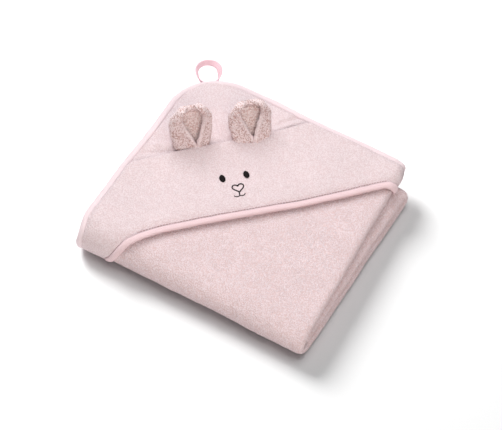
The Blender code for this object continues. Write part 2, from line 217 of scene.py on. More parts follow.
def terry(name, loops, gaps, loop_size, depth, mottle, covered, bright=None):
    """Cotton terry: matt loops, lighter on top and darker between them with painted shade, all light at
    height covered.

    bright names an attribute that hides the gaps' painted shade, as a painted highlight along a rolled
    edge.
    """
    made, tree, shader = new_material(name, 0.95, 0.25, loops, 0.15)
    place = add_node(tree, "ShaderNodeTexCoord").outputs["Object"]
    bend = add_node(
        tree, "ShaderNodeTexNoise", {"Scale": 0.5 / loop_size, "Detail": 1.0}, {"Vector": place}
    )
    shifted = add_node(
        tree, "ShaderNodeVectorMath", {"operation": "MULTIPLY_ADD", 1: (loop_size * 1.4,) * 3},
        {0: bend.outputs["Color"], 2: place},
    )
    loop = add_node(
        tree, "ShaderNodeTexVoronoi", {"feature": "F1", "Scale": 1 / loop_size, "Randomness": 1.0},
        {"Vector": shifted.outputs[0]},
    )
    fibre = add_node(
        tree, "ShaderNodeTexNoise", {"Scale": 2.2 / loop_size, "Detail": 3.0}, {"Vector": place}
    )
    clump = add_node(
        tree, "ShaderNodeTexNoise", {"Scale": 0.22 / loop_size, "Detail": 3.0}, {"Vector": place}
    )
    crown = add_node(
        tree, "ShaderNodeMapRange", {"From Min": 0.05, "From Max": 0.75, "To Min": 1.0, "To Max": 0.0},
        {"Value": loop.outputs["Distance"]},
    )
    pile = add_node(
        tree, "ShaderNodeMath", {"operation": "MULTIPLY_ADD", 1: 0.9},
        {0: fibre.outputs["Fac"], 2: crown.outputs["Result"]},
    )
    height = add_node(
        tree, "ShaderNodeMath", {"operation": "MULTIPLY_ADD", 1: 0.45},
        {0: clump.outputs["Fac"], 2: pile.outputs[0]},
    )
    # Painted shade: the low places between the loops take the gap colour.
    shade = add_node(
        tree, "ShaderNodeMapRange", {"From Min": 0.72, "From Max": covered}, {"Value": height.outputs[0]}
    )
    # Painted highlight: where the attribute is set, the gaps' painted shade gives way to the loop
    # colour.
    if bright:
        painted_rim_highlight = add_node(tree, "ShaderNodeAttribute", {"attribute_name": bright})
        shade = add_node(
            tree, "ShaderNodeMapRange", {"From Min": 0.0, "From Max": 1.0, "To Max": 1.0},
            {"Value": painted_rim_highlight.outputs["Fac"], "To Min": shade.outputs["Result"]},
        )
    color = add_node(
        tree, "ShaderNodeMix",
        {"data_type": "RGBA", "clamp_factor": True, MIX_FIRST: (*gaps, 1), MIX_SECOND: (*loops, 1)},
        {"Factor": shade.outputs["Result"]},
    )
    wide = add_node(
        tree, "ShaderNodeTexNoise", {"Scale": 22.0, "Detail": 2.0, "Roughness": 0.6}, {"Vector": place}
    )
    tone = add_node(
        tree, "ShaderNodeMapRange",
        {"From Min": 0.3, "From Max": 0.7, "To Min": 1 - mottle, "To Max": 1 + mottle},
        {"Value": wide.outputs["Fac"]},
    )
    toned = add_node(
        tree, "ShaderNodeVectorMath", {"operation": "SCALE"},
        {0: color.outputs[MIX_RESULT], "Scale": tone.outputs["Result"]},
    )
    finish_material(tree, shader, toned.outputs[0], height.outputs[0], 1.0, depth)
    return made


def woven(name, threads, gaps):
    """Plain-woven cotton tape: fine ribs across its length, a little smoother than terry."""
    made, tree, shader = new_material(name, 0.8, 0.15, threads, 0.3)
    flat = add_node(tree, "ShaderNodeUVMap", {"uv_map": "cloth"}).outputs["UV"]
    ribs, threads_across = (
        add_node(
            tree, "ShaderNodeTexWave",
            {"wave_type": "BANDS", "bands_direction": way, "Scale": WAVE_OF_METRE / RIB_PITCH,
             "Distortion": 0.6, "Detail": 2.0, "Detail Scale": detail},
            {"Vector": flat},
        )
        for way, detail in (("X", 2.0), ("Y", 1.0))
    )
    weave = add_node(
        tree, "ShaderNodeMath", {"operation": "MULTIPLY_ADD", 1: 0.5},
        {0: threads_across.outputs["Fac"], 2: ribs.outputs["Fac"]},
    )
    color = add_node(
        tree, "ShaderNodeMix",
        {"data_type": "RGBA", "clamp_factor": True, MIX_FIRST: (*gaps, 1), MIX_SECOND: (*threads, 1)},
        {"Factor": weave.outputs[0]},
    )
    finish_material(tree, shader, color.outputs[MIX_RESULT], weave.outputs[0], 0.6, 0.25 * MM)
    return made


def twisted_thread(name, color):
    """Twisted thread: even in colour, with fine light and dark turns along each stitch."""
    made, tree, shader = new_material(name, 0.7, 0.0, color, 0.2)
    place = add_node(tree, "ShaderNodeTexCoord").outputs["Object"]
    twist = add_node(tree, "ShaderNodeTexNoise", {"Scale": 1800.0, "Detail": 2.0}, {"Vector": place})
    tone = add_node(
        tree, "ShaderNodeMapRange", {"To Min": 0.7, "To Max": 1.3}, {"Value": twist.outputs["Fac"]}
    )
    toned = add_node(
        tree, "ShaderNodeVectorMath", {"operation": "SCALE", 0: color}, {"Scale": tone.outputs["Result"]}
    )
    finish_material(tree, shader, toned.outputs[0], twist.outputs["Fac"], 0.5, 0.1 * MM)
    return made


def finish_of(name):
    """The towel's materials, each made once."""
    made = bpy.data.materials.get(name)
    if made:
        return made
    c = colors()
    makers = {
        # Looped cotton pile, 1.35 mm a loop: a matt, faintly mottled skin with pinholes of shade.
        "cotton_terry": (terry, c.terry, c.terry_gap_shade, 1.35 * MM, 0.8 * MM, 0.03, 1.5),
        # The hood's shorter loops: paler and flatter, so its panels look smoother than the towel, with
        # painted shade between the loops.
        "fine_cotton_terry": (terry, c.hood, c.hood_gap_shade, 1.5 * MM, 0.5 * MM, 0.025, 1.5),
        # Curly loops: dark specks of painted shade between bright curls, which a painted highlight hides
        # along the rolled edges.
        "curly_cotton_terry": (terry, c.ear, c.ear_gap_shade, 1.7 * MM, 0.85 * MM, 0.05, 1.08, "rim"),
        # Looser and flatter curls inside the ear: broader, fainter specks of painted shade.
        "lining_cotton_terry": (terry, c.lining, c.lining_gap_shade, 1.9 * MM, 0.7 * MM, 0.05, 1.12),
        # Folded cotton tape: a smooth pink line against the pile.
        "woven_cotton_tape": (woven, c.tape, c.tape_gap),
        # The same weave in the pale tape round the towel's edge.
        "woven_edge_tape": (woven, c.edge, c.edge_gap),
        # Deeper pink weave of the hanging loop.
        "woven_loop_tape": (woven, c.loop, c.loop_gap),
        # Spun polyester sewing thread: a fine dull line of stitches.
        "polyester_sewing_thread": (twisted_thread, tuple(c.topstitch)),
        # Embroidery thread: near black, with a faint gleam on each raised stitch.
        "embroidery_thread": (twisted_thread, tuple(c.thread)),
    }
    maker, *values = makers[name]
    return maker(name, *values)


# ---- surface noise ----

LATTICE = np.random.RandomState(11).rand(64, 64, 64)


def value_noise(points, cell, seed=0):
    """Smooth noise from -1 to 1 at each point, with lumps about one cell wide."""
    place = points / cell + seed * 7.31 + 1000
    base = np.floor(place).astype(int)
    part = place - base
    part = part * part * (3 - 2 * part)
    total = np.zeros(len(points))
    for corner in range(8):
        offset = np.array([corner & 1, corner >> 1 & 1, corner >> 2 & 1])
        index = (base + offset) % 64
        weight = np.prod(np.where(offset, part, 1 - part), axis=1)
        total += weight * LATTICE[index[:, 0], index[:, 1], index[:, 2]]
    return total * 2 - 1


# ---- the folded surface ----


class Route:
    """A flat curve read by its length, with the normal on its left or right side."""

    def __init__(self, points, side):
        points = np.asarray(points, float)
        steps = np.linalg.norm(np.diff(points, axis=0), axis=1)
        self.length = np.concatenate([[0], np.cumsum(steps)])
        self.points = points
        tangent = np.gradient(points, self.length, axis=0)
        tangent /= np.linalg.norm(tangent, axis=1)[:, None]
        self.normals = np.stack([tangent[:, 1], -tangent[:, 0]], 1) * side

    def read(self, at):
        """(first, second, normal first, normal second) at each length, going straight past the ends."""
        at = np.asarray(at, float)
        inside = np.clip(at, 0, self.length[-1])
        past = at - inside
        found = [np.interp(inside, self.length, column) for column in (*self.points.T, *self.normals.T)]
        scale = np.hypot(found[2], found[3])
        found[2], found[3] = found[2] / scale, found[3] / scale
        ends = np.where(past < 0, 0, -1)
        first = np.array([self.points[1] - self.points[0], self.points[-1] - self.points[-2]])
        first /= np.linalg.norm(first, axis=1)[:, None]
        step = first[ends] * past[..., None]
        return found[0] + step[..., 0], found[1] + step[..., 1], found[2], found[3]


def arc(centre, radii, start, end, count, power=2.0):
    """Points on an ellipse, or squarer than one where power is over 2; angles in degrees."""
    angles = np.radians(np.linspace(start, end, count))
    cosine, sine = np.cos(angles), np.sin(angles)
    first = centre[0] + radii[0] * np.sign(cosine) * np.abs(cosine) ** (2 / power)
    second = centre[1] + radii[1] * np.sign(sine) * np.abs(sine) ** (2 / power)
    return list(zip(first, second))


PLY = LEVEL / 3
EDGE_FOLD = 9 * MM
LOWER_CORNER = 40 * MM


def across_route():
    """Across one strip, as (x, depth below its outer skin): top ply, bottom ply, middle ply."""
    top, middle, bottom = PLY / 2, PLY * 1.5, PLY * 2.5
    turn = HALF_X - EDGE_FOLD
    points = [(-HALF_X, top)]
    points += arc((turn, (top + bottom) / 2), (EDGE_FOLD - PLY / 2, PLY), -90, 90, 25, 2.2)
    inner = -HALF_X + PLY
    points += arc((inner, (middle + bottom) / 2), (PLY * 0.5, PLY / 2), 90, 270, 13)
    points.append((HALF_X - 14 * MM, middle))
    return Route(points, 1)


def down_routes():
    """The strip's outer skin in y and z: top level, front roll and bottom; then back roll and middle."""
    depth = sizes().roll_depth
    front = -HALF_Y + depth
    back_radius = LEVEL
    back = LOWER_BACK - back_radius
    outer = [(HALF_Y, STACK), (front + depth * 0.8, STACK)]
    outer += arc((front, SPLIT), (depth, SPLIT), 90, 270, 97, 2.15)
    outer += arc((back, back_radius), (back_radius, back_radius), 270, 360, 17)
    inner = arc((back, back_radius), (back_radius, back_radius), 0, 90, 17)
    inner.append((front - LEVEL, 2 * LEVEL))
    return Route(outer, 1), Route(inner, 1)


class Folded:
    """The towel folded in thirds across its width and along its length."""

    def __init__(self):
        self.across = across_route()
        self.outer, self.inner = down_routes()

    def place(self, s, t, lift, route=None):
        """World points at s across and t down the cloth, lift above the middle of its ply."""
        x, depth, normal_x, normal_depth = self.across.read(s)
        y, z, normal_y, normal_z = (route or self.outer).read(t)
        x = x + normal_x * lift
        depth = depth + normal_depth * lift
        return np.stack([x, y - normal_y * depth, z - normal_z * depth], -1)


def smooth_share(value, low, high):
    """From 0 at low to 1 at high, level at both."""
    share = np.clip((value - low) / (high - low), 0, 1)
    return share * share * (3 - 2 * share)


def half_round(share):
    """Height of a quarter circle, from 0 at share 0 to 1 at share 1 and past it."""
    return np.sqrt(np.clip(1 - (1 - np.clip(share, 0, 1)) ** 2, 0, 1))


# Places that make a rounded rim smooth, from its edge inwards, as shares of its radius.
RIM = 1 - np.cos(np.linspace(0, np.pi / 2, 5)[:-1])


def round_corner(points, back, radius):
    """Draws the square corner at -X +Y in to an arc."""
    u = (radius - (points[..., 0] + HALF_X)) / radius
    w = (radius - (back - points[..., 1])) / radius
    inside = (u > 0) & (w > 0)
    u, w = np.clip(u, 0, 1.1), np.clip(w, 0, 1.1)
    across = u * np.sqrt(1 - w * w / 2)
    down = w * np.sqrt(1 - u * u / 2)
    moved = points.copy()
    moved[..., 0] = np.where(inside, -HALF_X + radius - across * radius, points[..., 0])
    moved[..., 1] = np.where(inside, back - radius + down * radius, points[..., 1])
    return moved


# How far the stack's corners and its middle level lie in from the straight edge.
BACK_PULL = 2 * MM
FRONT_PULL = 6 * MM
MIDDLE_RECESS = 1.6 * MM


def settle(points):
    """How the stack lies: the top fold narrower at its back, and gentle hollows in the pile."""
    flat = points.reshape(-1, 3)
    moved = flat.copy()
    top = smooth_share(flat[:, 2], SPLIT, STACK - LEVEL)
    middle = np.exp(-(((flat[:, 2] - SPLIT) / (0.42 * LEVEL)) ** 2))
    back = np.clip((flat[:, 1] + HALF_Y) / (2 * HALF_Y), 0, 1.1)
    right = np.clip((flat[:, 0] + HALF_X) / (2 * HALF_X), 0, 1.1)
    at_back = smooth_share(flat[:, 1], HALF_Y - 26 * MM, HALF_Y + 2 * MM) ** 2
    at_front = smooth_share(-flat[:, 1], HALF_Y - 30 * MM, HALF_Y + 2 * MM)
    moved[:, 0] -= sizes().narrowing * top * back * right**2
    moved[:, 0] -= BACK_PULL * top * at_back * right**8
    moved[:, 0] += FRONT_PULL * at_front * (1 - right) ** 8
    moved[:, 0] -= MIDDLE_RECESS * middle * right**8
    plan = flat * (1, 1, 0)
    height = np.clip(flat[:, 2] / STACK, 0, 1.2)
    moved[:, 2] += height**2 * (
        0.9 * MM * value_noise(plan, 70 * MM, 3) + 0.5 * MM * value_noise(plan, 33 * MM, 4)
    )
    wave = 1.0 * MM * value_noise(flat * (1, 1, 1.6), 60 * MM, 5)
    moved[:, 0] += wave * (flat[:, 0] / HALF_X) ** 3
    moved[:, 1] += wave * (flat[:, 1] / HALF_Y) ** 3
    return moved.reshape(points.shape)


# ---- closed sheets ----


def closed_rim(half):
    """Brings a sheet's half thickness to nothing along its border, so that its faces meet."""
    half[0], half[-1], half[:, 0], half[:, -1] = 0, 0, 0, 0
    return half


def grid_normals(points):
    """A unit normal at each point of a grid."""
    across = np.gradient(points, axis=1)
    along = np.gradient(points, axis=0)
    normals = np.cross(across, along)
    return normals / np.maximum(np.linalg.norm(normals, axis=-1), 1e-12)[..., None]


def sheet_about(name, middle, half, flat, finish):
    """A closed sheet whose thickness lies evenly on both sides of its middle surface."""
    thick = grid_normals(middle) * closed_rim(half)[..., None]
    return closed_sheet(name, middle + thick, middle - thick, flat, finish)


def closed_sheet(name, top, bottom, flat, finish):
    """A closed mesh from the two faces of a sheet, whose border points coincide."""
    rows, columns = top.shape[:2]
    upper = np.arange(rows * columns).reshape(rows, columns)
    lower = upper.copy()
    inner = (rows - 2) * (columns - 2)
    lower[1:-1, 1:-1] = rows * columns + np.arange(inner).reshape(rows - 2, columns - 2)
    points = np.concatenate([top.reshape(-1, 3), bottom[1:-1, 1:-1].reshape(-1, 3)])
    uv = np.concatenate([flat.reshape(-1, 2), flat[1:-1, 1:-1].reshape(-1, 2)])

    def quads(grid):
        corners = (grid[:-1, :-1], grid[1:, :-1], grid[1:, 1:], grid[:-1, 1:])
        return np.stack(corners, -1).reshape(-1, 4)

    faces = np.concatenate([quads(upper), quads(lower)[:, ::-1]])
    return mesh_object(name, points, faces, uv, finish)


def mesh_object(name, points, faces, uv, finish):
    """An object at the origin from points and quads, with its faces out and its cloth map."""
    corner = points[faces]
    spread = np.einsum(
        "ij,ij->i", corner[:, 0], np.cross(corner[:, 2] - corner[:, 0], corner[:, 3] - corner[:, 1])
    )
    if spread.sum() < 0:
        faces = faces[:, ::-1]
    mesh = bpy.data.meshes.new(name)
    mesh.vertices.add(len(points))
    mesh.vertices.foreach_set("co", points.astype(np.float32).ravel())
    mesh.loops.add(faces.size)
    mesh.loops.foreach_set("vertex_index", faces.astype(np.int32).ravel())
    mesh.polygons.add(len(faces))
    mesh.polygons.foreach_set("loop_start", np.arange(0, faces.size, 4, dtype=np.int32))
    mesh.update(calc_edges=True)
    mesh.validate()
    layer = mesh.uv_layers.new(name="cloth")
    used = np.zeros(len(mesh.loops), np.int32)
    mesh.loops.foreach_get("vertex_index", used)
    layer.uv.foreach_set("vector", uv[used].astype(np.float32).ravel())
    mesh.shade_smooth()
    mesh.materials.append(finish_of(finish))
    obj = bpy.data.objects.new(name, mesh)
    bpy.context.scene.collection.objects.link(obj)
    return obj


def raise_pile(obj, lumps):
    """Moves each point along its normal by lumps of noise, and keeps it off the floor."""
    mesh = obj.data
    count = len(mesh.vertices)
    points = np.zeros(count * 3, np.float32)
    normals = np.zeros(count * 3, np.float32)
    mesh.vertices.foreach_get("co", points)
    mesh.vertex_normals.foreach_get("vector", normals)
    points = points.reshape(-1, 3).astype(float)
    normals = normals.reshape(-1, 3)
    shift = sum(height * value_noise(points, cell, seed) for cell, height, seed in lumps)
    moved = points + normals * shift[:, None]
    moved[:, 2] = np.maximum(moved[:, 2], 0.05 * MM)
    mesh.vertices.foreach_set("co", moved.astype(np.float32).ravel())
    mesh.update()
    return obj


# Lumps of the pile, as (size, height, seed).
TOWEL_PILE = [(4.2 * MM, 0.22 * MM, 0), (2.4 * MM, 0.3 * MM, 1), (14 * MM, 0.4 * MM, 2)]
HOOD_PILE = [(4.2 * MM, 0.15 * MM, 6), (2.2 * MM, 0.2 * MM, 7), (17 * MM, 0.35 * MM, 8)]
HEM_PILE = [(9 * MM, 0.25 * MM, 12), (3 * MM, 0.12 * MM, 13)]
EDGE_PILE = [(8 * MM, 0.3 * MM, 14), (3 * MM, 0.12 * MM, 15)]
EAR_PILE = [(3.2 * MM, 0.6 * MM, 9), (2.0 * MM, 0.5 * MM, 10)]
LINING_PILE = [(3.2 * MM, 0.45 * MM, 16), (1.8 * MM, 0.35 * MM, 17)]


def placed(obj, body, slot, *nodes):
    """Rides a body and stands for the frame's nodes; slot is not used."""
    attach(obj, body)
    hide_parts(*nodes)
    return obj


def bent(obj, slot, *nodes):
    """For a piece across the front roll, between the lower folds and the top fold: hides the frame's
    nodes and bakes its place into its mesh.
    """
    if nodes:
        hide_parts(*nodes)
    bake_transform(obj)
    return obj


# ---- towel ----


def ply_places(folded):
    """Places across the strip: close together where they show, wider apart inside."""
    total = folded.across.length[-1]
    rim = PLY / 2 * RIM
    show = 2 * HALF_X + 6 * MM
    seen = np.linspace(0, show, int(round(show / sizes().grid)) + 1)
    hidden = np.linspace(show, total - PLY / 2, 48)[1:]
    # The place where the spacing changes is there three times.
    change = [show, show]
    first = [PLY / 2]
    return np.concatenate([rim, first, seen[seen > PLY / 2], change, hidden, total - rim[::-1]])


def outer_places(half, total):
    """Places down the outer sheet, and the share of its thickness there: its last end is cut."""
    size = sizes()
    seen = 2 * HALF_Y - size.roll_depth + math.pi / 2 * size.roll_depth + 18 * MM
    fine = np.arange(half, seen, size.grid)
    t = np.concatenate([half * RIM, fine, np.linspace(seen, total, 46), [total]])
    share = half_round(t / half)
    share[-1] = 0
    return t, share


def inner_places(half, total):
    """The same down the inner sheet, whose first end is cut."""
    t = np.concatenate([np.linspace(0, 40 * MM, 14), np.linspace(40 * MM, total, 40)[1:]])
    t = np.concatenate([[0.0], t[t < total - half], total - half * RIM[::-1]])
    share = half_round((total - t) / half)
    share[0] = 0
    return t, share


def folded_towel():
    """The towel as two sheets: the outer bends over the front roll, the inner stays below."""
    folded = Folded()
    half = sizes().cloth / 2
    s = ply_places(folded)
    s_share = half_round(np.minimum(s, s[-1] - s) / half)
    made = []
    for name, route, places, rounded in (
        ("towel_outer", folded.outer, outer_places, round_levels),
        ("towel_inner", folded.inner, inner_places, round_lower),
    ):
        t, t_share = places(half, route.length[-1])
        lift = half * s_share[None, :] * t_share[:, None]
        grid_s, grid_t = np.meshgrid(s, t)
        top, bottom = (
            settle(rounded(folded.place(grid_s, grid_t, side * lift, route))) for side in (1, -1)
        )
        flat = np.stack([grid_s, grid_t], -1)
        made.append(raise_pile(closed_sheet(name, top, bottom, flat, "cotton_terry"), TOWEL_PILE))
    outer, inner = made
    bent(outer, "terry_pink", "towel_top_fold")
    placed(inner, "base", "terry_pink", "towel_lower_folds")


def round_lower(points):
    """Rounds the corner of the levels below the top one."""
    return round_corner(points, LOWER_BACK, LOWER_CORNER)


def round_levels(points):
    """Rounds the hooded corner of the top level, and the corner of the levels below it."""
    upper = round_corner(points, HALF_Y, sizes().corner)
    on_top = points[..., 2] > STACK - LEVEL - MM
    return np.where(on_top[..., None], upper, round_lower(points))


# ---- hood ----

# Millimetres along the hem, and how far beyond its straight line it lies there.
HEM_PLACES = (-200, -170, -140, -100, -60, -20, 20, 60, 100, 140, 160, 180)
HEM_REACHES = (22.0, 17.5, 8.5, 3.4, 2.8, 3.8, 5.2, 6.2, 6.4, 6.4, 6.8, 9.0)


def hem_line(p):
    """Distance of the hem from the corner, p along it: it lies forward at both its ends."""
    return HOOD_REACH + MM * np.interp(p, np.array(HEM_PLACES) * MM, HEM_REACHES)


def seam_line(p):
    """Distance of the seam between crown and face: it bows towards the corner at its right."""
    left = 7 * MM * smooth_share(-p, 50 * MM, 150 * MM)
    right = 5 * MM * smooth_share(p, 50 * MM, 120 * MM)
    return SEAM_REACH + left - right


# Crown and face run under each other at their seam, and the hood ends just past the side fold.
SEAM_LAP = 1.6 * MM
HOOD_LAST = 2 * HALF_X + 13 * MM


def hood_sheet(name, start, end, rows, columns, lift_of, half_of, finish, pile, margin):
    """A hood panel between two lines parallel to the hem: start and end give them at p.

    g and f run from 0 to 1 along the hem and away from the corner, and inset is the distance to
    the nearest edge. lift_of and half_of give the height of its middle and half its thickness.
    """
    folded = Folded()
    across = np.linspace(0, 1, columns)
    down = np.linspace(0, 1, rows)
    edge = 1 - np.cos(np.linspace(0, np.pi / 2, 4)[:-1])
    across = np.concatenate([edge / columns, across[1:-1], 1 - (edge / columns)[::-1]])
    down = np.concatenate([edge / rows, down[1:-1], 1 - (edge / rows)[::-1]])
    g, f = np.meshgrid(across, down)
    limit = start(0.0) + (end(0.0) - start(0.0)) * f
    for _ in range(3):
        p = (2 * g - 1) * (limit - margin)
        q = start(p) + (end(p) - start(p)) * f
        side = np.sign(2 * g - 1)
        limit = start(side * limit) * (1 - f) + end(side * limit) * f
        limit = np.where(side > 0, np.minimum(limit, HOOD_LAST / DIAGONAL - q), limit)
    s = (q + p) * DIAGONAL
    t = (q - p) * DIAGONAL
    inset = np.minimum(np.minimum(g, 1 - g) * 2 * limit, np.minimum(f, 1 - f) * (end(p) - start(p)))
    lift = lift_of(inset, f, g, p, q)
    turned = np.maximum(
        smooth_share(s, 2 * HALF_X - 8 * MM, 2 * HALF_X + 4 * MM),
        smooth_share(t, 2 * HALF_Y - 16 * MM, 2 * HALF_Y + 10 * MM),
    )
    half = closed_rim(half_of(inset, f, g, p, q)) * (1 - 0.45 * turned)
    lift = lift - (lift - sizes().cloth / 2 - half) * turned * 0.85
    top = round_levels(folded.place(s, t, lift + half))
    bottom = round_levels(folded.place(s, t, lift - half))
    flat = np.stack([p, q], -1)
    return raise_pile(closed_sheet(name, settle(top), settle(bottom), flat, finish), pile)


def hood_panels():
    """The crown, the face and the hem tape, laid on the top fold."""
    size = sizes()
    half = size.panel / 2
    over = size.cloth / 2 + half + 0.3 * MM

    def crown_lift(inset, f, g, p, q):
        puff = 1.6 * MM * smooth_share(inset, 2 * MM, 26 * MM)
        dip = smooth_share(f, 0.88, 1.0)
        return over + puff - (puff + 1.4 * MM) * dip + crown_creases(p, q)

    def face_lift(inset, f, g, p, q):
        away = np.where(f < 0.5, 20 * MM, inset)
        sides = np.minimum(1 - g, g) * 2 * np.max(q)
        shoulder = 2.2 * MM * smooth_share(np.minimum(away, sides), 0.5 * MM, 9 * MM)
        ridge = 2.0 * MM * np.exp(-((f * SEAM_REACH / 3 / (6 * MM)) ** 2))
        return over + 0.2 * MM + shoulder + ridge * smooth_share(sides, 0, 20 * MM)

    def plain(inset, f, g, p, q):
        return half * half_round(inset / half)

    def hem_lift(inset, f, g, p, q):
        return over - half + hem_half + 2.5 * MM + 0 * f

    def hem_round(inset, f, g, p, q):
        return hem_half * np.sqrt(np.clip(1 - np.abs(2 * f - 1) ** 2.4, 0, 1))

    hem_half = size.hem_height / 2
    crown = hood_sheet(
        "hood_crown", lambda p: 0 * np.asarray(p) + 6 * MM, lambda p: seam_line(p) + SEAM_LAP,
        84, 170, crown_lift, plain, "fine_cotton_terry", HOOD_PILE, 6.0 * MM,
    )
    face = hood_sheet(
        "hood_face", lambda p: seam_line(p) - SEAM_LAP, lambda p: hem_line(p) - size.hem - 0.5 * MM,
        66, 270, face_lift, plain, "fine_cotton_terry", HOOD_PILE, 3.4 * MM,
    )
    hem = hood_sheet(
        "hood_hem_tape", lambda p: hem_line(p) - size.hem, hem_line,
        15, 300, hem_lift, hem_round, "woven_cotton_tape", HEM_PILE, 1.0 * MM,
    )
    placed(crown, "top_fold", "terry_pale", "hood_crown_panel")
    bent(face, "terry_pale", "hood_face_panel")
    bent(hem, "woven_tape", "hood_edge_binding")


# Soft creases beside the ears, as (p, q, direction in degrees, length, height), in millimetres.
CREASES = (
    (-88, 108, 8, 46, -1.9), (-80, 99, 14, 40, 1.4), (-74, 88, 24, 30, -1.2),
    (86, 100, -12, 40, -2.0), (94, 92, -16, 36, 1.6), (76, 108, -8, 34, 1.5),
    (-2, 96, 88, 28, -2.2), (12, 70, 60, 26, 0.9),
)
CREASE_WIDTH = 2.8 * MM


def crown_creases(p, q):
    """How high the creases stand at each place of the crown."""
    total = np.zeros(np.shape(p))
    for at_p, at_q, turn, length, height in CREASES:
        angle = math.radians(turn)
        along = (p - at_p * MM) * math.cos(angle) + (q - at_q * MM) * math.sin(angle)
        side = -(p - at_p * MM) * math.sin(angle) + (q - at_q * MM) * math.cos(angle)
        fade = (along / (length * MM / 2)) ** 2 + (side / CREASE_WIDTH) ** 2
        total += height * MM * np.exp(-fade)
    return total


# ---- tape bound round the towel's edge ----


def swept_tape(name, centres, outward, upward, width, height, finish):
    """A tape folded over an edge: a flattened round section carried along the edge."""
    sides = 14
    angles = np.linspace(0, 2 * math.pi, sides, endpoint=False)
    cosine, sine = np.cos(angles), np.sin(angles)
    rings = (
        centres[:, None]
        + outward[:, None] * (width / 2 * np.sign(cosine) * np.abs(cosine) ** 0.8)[:, None]
        + upward[:, None] * (height / 2 * np.sign(sine) * np.abs(sine) ** 0.8)[:, None]
    )
    rings[0], rings[-1] = centres[0], centres[-1]
    index = np.arange(len(centres) * sides).reshape(-1, sides)
    following = np.roll(index, -1, axis=1)
    faces = np.stack([index[:-1], following[:-1], following[1:], index[1:]], -1).reshape(-1, 4)
    length = np.concatenate([[0], np.cumsum(np.linalg.norm(np.diff(centres, axis=0), axis=1))])
    around = np.linspace(0, 2 * (width + height), sides, endpoint=False)
    uv = np.stack(np.meshgrid(length, around, indexing="ij"), -1).reshape(-1, 2)
    return mesh_object(name, rings.reshape(-1, 3), faces, uv, finish)


EDGE_TAPE = 8.4 * MM
EDGE_OVERLAP = 0.2 * MM
HOOD_SIDE = 0.305
HOOD_FOLD = 0.27


def edge_binding():
    """The tape up the side of the stack, round the hooded corner and along the back."""
    size = sizes()
    folded = Folded()
    radius = size.corner
    step = 2.5 * MM
    down = np.arange(folded.outer.length[-1] - 150 * MM, radius, -step)
    turn = np.linspace(0, math.pi / 2, 40)
    back = np.arange(radius, folded.across.length[-1] - 3 * MM, step)
    s = np.concatenate([0 * down, radius - radius * np.cos(turn), back])
    t = np.concatenate([down, radius - radius * np.sin(turn), 0 * back])
    out_s = np.concatenate([-1 + 0 * down, -np.cos(turn), 0 * back])
    out_t = np.concatenate([0 * down, -np.sin(turn), -1 + 0 * back])
    edge_s, edge_t = s - out_s * EDGE_OVERLAP, t - out_t * EDGE_OVERLAP
    centre = folded.place(edge_s, edge_t, 0 * s)
    further = folded.place(edge_s + out_s * MM, edge_t + out_t * MM, 0 * s)
    higher = folded.place(edge_s, edge_t, 0 * s + MM)
    under = (s > 2 * HALF_X)[:, None]
    centre, further, higher = (
        settle(np.where(under, round_levels(line), line)) for line in (centre, further, higher)
    )
    outward = (further - centre) / np.linalg.norm(further - centre, axis=1)[:, None]
    upward = (higher - centre) / np.linalg.norm(higher - centre, axis=1)[:, None]
    on_hood = smooth_share(HOOD_SIDE - np.hypot(s, t), 0, 20 * MM) * (s < HOOD_FOLD)
    raised = size.panel * 0.55 * on_hood
    centre = centre + upward * (raised / 2)[:, None]
    height = size.cloth + 2.6 * MM + raised
    tape = swept_tape(
        "edge_binding_tape", centre, outward, upward * (height / size.cloth)[:, None],
        EDGE_TAPE, size.cloth, "woven_edge_tape",
    )
    raise_pile(tape, EDGE_PILE)
    bent(tape, "woven_tape", "edge_binding_top", "edge_binding_middle", "edge_binding_bottom")


# ---- ears ----

EAR_COLUMNS = 120
EAR_TILT = math.radians(58)
EAR_WIDEST = 0.56
EAR_LAST = 0.99
EAR_FOLD = 4.4 * MM
LINING_ROWS = 44


def ear_half(share):
    """Half the ear's width at each share of its length."""
    size = sizes()
    base, full = size.ear_base / 2, size.ear_width / 2
    low = base + (full - base) * np.sin(np.clip(share / EAR_WIDEST, 0, 1) * math.pi / 2)
    beyond = np.clip((share - EAR_WIDEST) / (1 - EAR_WIDEST), 0, 1)
    return np.where(share < EAR_WIDEST, low, full * np.sqrt(np.clip(1 - beyond**2.1, 0, 1)))


def ear_route(share, apex, flap_end):
    """One level of an ear from free edge to free edge, and where its back starts and ends."""
    half = float(ear_half(np.array(share)))
    fold = EAR_FOLD * min(1.0, half / (14 * MM))
    lip = min(8.5 * MM, 0.45 * half)
    flaps = [
        lip + (half + 2 * MM - side * apex - lip) * max(0.0, 1 - share / end)
        for side, end in ((-1, flap_end[0]), (1, flap_end[1]))
    ]
    stands = [2 * fold + extra * MM * flap / (24 * MM) for flap, extra in zip(flaps, (1.5, 3.5))]
    left = [(flaps[0] - half, stands[0]), (fold * 0.8 - half, 2 * fold)]
    left += arc((fold - half, fold), (fold, fold), 140, 250, 10)
    hollow = 2.0 * MM
    back = [(2.2 * fold - half, -0.3 * hollow), (0.0, -hollow), (half - 2.2 * fold, -0.3 * hollow)]
    right = arc((half - fold, fold), (fold, fold), 290, 400, 10)
    right += [(half - fold * 0.8, 2 * fold), (half - flaps[1], stands[1])]
    curve = Route(left + back + right, 1)
    ends = curve.length[len(left) - 4], curve.length[len(left) + len(back) + 3]
    return curve, ends


def ear_levels(shares, apex, flap_end, lift, between=None):
    """Grids of (across, forward) points and lengths; between maps g from 0 to 1 onto the back."""
    rows, lengths = [], []
    for row, share in enumerate(shares):
        curve, ends = ear_route(share, apex, flap_end)
        if between is None:
            at = np.linspace(0, curve.length[-1], EAR_COLUMNS)
        else:
            at = ends[0] + (ends[1] - ends[0]) * between[row]
        across, forward, normal_across, normal_forward = curve.read(at)
        rows.append(np.stack([across - normal_across * lift, forward - normal_forward * lift], -1))
        lengths.append(at)
    return np.array(rows), np.array(lengths)


